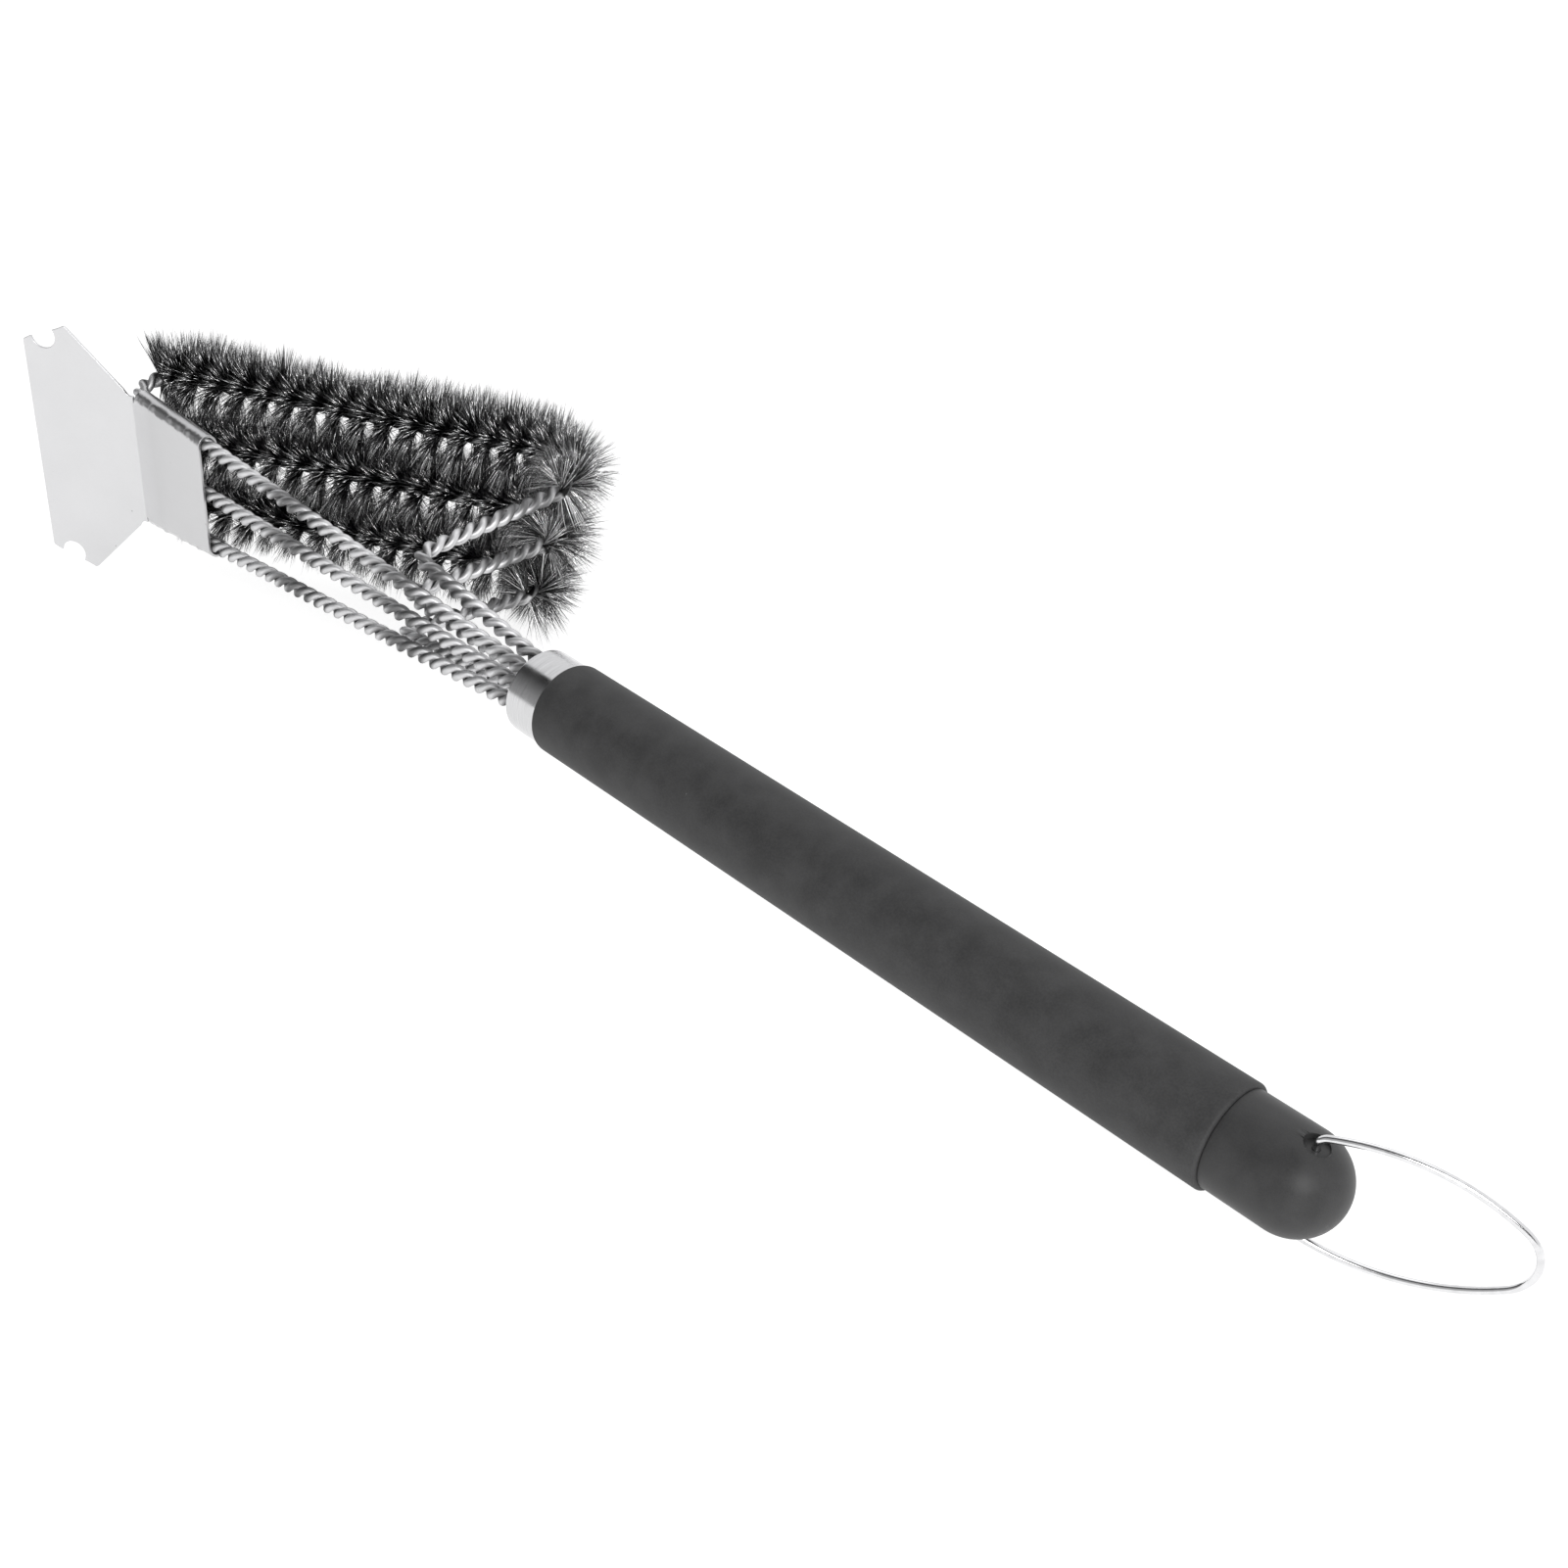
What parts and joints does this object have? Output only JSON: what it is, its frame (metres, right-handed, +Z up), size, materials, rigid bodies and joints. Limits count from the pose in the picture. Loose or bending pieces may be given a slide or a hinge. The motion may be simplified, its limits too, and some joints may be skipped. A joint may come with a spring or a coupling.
{
  "type": "grill cleaning brush",
  "caption": "Long handled grill cleaning brush with looped twisted wire bristle heads, a clamped sheet steel scraper, a round grip and a swinging hanging loop.",
  "frame": {"origin": "middle of the grip, on its axis", "axes": "+X runs from the brush head towards the hanging end, dipping 3.2 degrees below the grip's line, so the grip lies almost along it; +Y is the side the bristles face when the brush lies on its side; +Z is up, across the row of brushes, as the brush lies on a table on one scraper point, the lowest bristles and the hanging loop"},
  "size_m": [0.4913, 0.1126, 0.0806],
  "materials": {
    "scraper_steel": "satin",
    "rope_steel": "satin",
    "bristle": "matte",
    "ring_steel": "brushed",
    "plug_plastic": "matte",
    "grip_plastic": "matte",
    "tube_steel": "satin",
    "cap_plastic": "satin",
    "loop_wire": "polished"
  },
  "bodies": {
    "brush": {"scraper": "scraper_steel", "right_wire_1": "rope_steel", "right_wire_2": "rope_steel", "middle_wire_1": "rope_steel", "middle_wire_2": "rope_steel", "left_wire_1": "rope_steel", "left_wire_2": "rope_steel", "right_bristles": "bristle", "middle_bristles": "bristle", "left_bristles": "bristle", "ferrule": "ring_steel", "rope_plug": "plug_plastic", "grip": "grip_plastic", "core_tube": "tube_steel", "end_cap": "cap_plastic"},
    "hang_loop": {"hang_loop": "loop_wire"}
  },
  "joints": [
    {"name": "loop_swing", "type": "hinge", "parent": "brush", "child": "hang_loop", "pos_m": [0.12041, 0, -0.00673], "axis": [0.0558, -0.0419, 0.9976], "range_deg": [-178, 138]}
  ]
}
